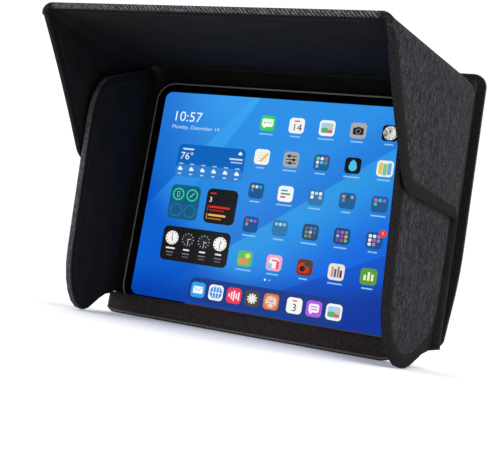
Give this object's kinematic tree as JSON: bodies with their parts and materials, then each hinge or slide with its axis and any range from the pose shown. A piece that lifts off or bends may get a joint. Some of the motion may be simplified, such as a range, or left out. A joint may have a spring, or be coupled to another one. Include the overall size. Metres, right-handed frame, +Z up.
{
  "type": "tablet sun hood",
  "caption": "Folding fabric sun hood around a landscape tablet, with a top visor, side flaps, fold-in wings and a padded lip that holds the tablet's foot.",
  "frame": {"origin": "on the floor under the middle of the hood's bounding box, standing upright", "axes": "+X to the viewer's right along the hood's width, +Y away from the viewer towards the back panel, +Z up"},
  "size_m": [0.324, 0.2382, 0.254],
  "materials": {
    "outer_fabric": "woven heather charcoal",
    "lining_fabric": "brushed black",
    "stiffener_board": "plain sheet",
    "binding_tape": "ribbed tape",
    "hook_and_loop": "fuzzy",
    "lip_fabric": "padded knit",
    "foam": "soft foam",
    "grip_rubber": "tacky",
    "anodised_metal": "anodised, bead blasted",
    "cover_glass": "polished",
    "display_panel": "lit",
    "circuit_board": "solder mask",
    "battery_wrap": "film",
    "speaker_plastic": "moulded",
    "camera_glass": "polished",
    "port_steel": "satin"
  },
  "bodies": {
    "back_panel": {"back_cover": "outer_fabric", "back_board": "stiffener_board", "back_lining": "lining_fabric", "back_binding": "binding_tape", "top_spine": "outer_fabric", "left_side_wall": "lining_fabric", "right_side_wall": "lining_fabric", "lip_cushion": "foam", "lip_cover": "lip_fabric", "lip_piping": "binding_tape", "grip_pads": "grip_rubber", "hood_fold_seams": "binding_tape"},
    "left_wing": {"left_wing_cover": "outer_fabric", "left_wing_board": "stiffener_board", "left_wing_lining": "lining_fabric", "left_wing_binding": "binding_tape", "left_wing_loop_patch": "hook_and_loop"},
    "left_flap": {"left_flap_cover": "outer_fabric", "left_flap_board": "stiffener_board", "left_flap_lining": "lining_fabric", "left_flap_binding": "binding_tape", "left_flap_hook_patch": "hook_and_loop"},
    "right_wing": {"right_wing_cover": "outer_fabric", "right_wing_board": "stiffener_board", "right_wing_lining": "lining_fabric", "right_wing_binding": "binding_tape", "right_wing_loop_patch": "hook_and_loop"},
    "right_flap": {"right_flap_cover": "outer_fabric", "right_flap_board": "stiffener_board", "right_flap_lining": "lining_fabric", "right_flap_binding": "binding_tape", "right_flap_hook_patch": "hook_and_loop"},
    "visor": {"visor_cover": "outer_fabric", "visor_board": "stiffener_board", "visor_lining": "lining_fabric", "visor_binding": "binding_tape", "flap_fold_seams": "binding_tape"},
    "tablet": {"tablet_housing": "anodised_metal", "tablet_glass": "cover_glass", "tablet_display": "display_panel", "tablet_battery_cells": "battery_wrap", "tablet_logic_board": "circuit_board", "tablet_speakers": "speaker_plastic", "tablet_front_camera": "camera_glass", "tablet_rear_camera": "camera_glass", "tablet_charging_port": "port_steel"},
    "power_button": {"tablet_power_button": "anodised_metal"},
    "volume_up_button": {"tablet_volume_up_button": "anodised_metal"},
    "volume_down_button": {"tablet_volume_down_button": "anodised_metal"}
  },
  "joints": [
    {"name": "left_wing_fold", "type": "hinge", "parent": "back_panel", "child": "left_wing", "pos_m": [-0.1504, 0.09345, 0.12], "axis": [0, 0, 1], "range_deg": [0, 76]},
    {"name": "right_wing_fold", "type": "hinge", "parent": "back_panel", "child": "right_wing", "pos_m": [0.1504, 0.09345, 0.12], "axis": [0, 0, -1], "range_deg": [0, 76]},
    {"name": "visor_lift", "type": "hinge", "parent": "back_panel", "child": "visor", "pos_m": [0, 0.09345, 0.24438], "axis": [-1, 0, 0], "range_deg": [0, 105]},
    {"name": "left_flap_fold", "type": "hinge", "parent": "visor", "child": "left_flap", "pos_m": [-0.151, 0.09345, 0.24438], "axis": [-0.1631, 0.9707, 0.1764], "range_deg": [0, 95]},
    {"name": "right_flap_fold", "type": "hinge", "parent": "visor", "child": "right_flap", "pos_m": [0.151, 0.09345, 0.24438], "axis": [-0.1631, -0.9707, -0.1764], "range_deg": [0, 95]},
    {"name": "tablet_lift", "type": "slide", "parent": "back_panel", "child": "tablet", "axis": [0, 0, 1], "range_m": [0, 0.012]},
    {"name": "power_button_press", "type": "slide", "parent": "tablet", "child": "power_button", "axis": [1, 0, 0], "range_m": [0, 0.0003], "stiffness_N_per_m": 3000},
    {"name": "volume_up_press", "type": "slide", "parent": "tablet", "child": "volume_up_button", "axis": [0, 0, -1], "range_m": [0, 0.0003], "stiffness_N_per_m": 3000},
    {"name": "volume_down_press", "type": "slide", "parent": "tablet", "child": "volume_down_button", "axis": [0, 0, -1], "range_m": [0, 0.0003], "stiffness_N_per_m": 3000}
  ]
}
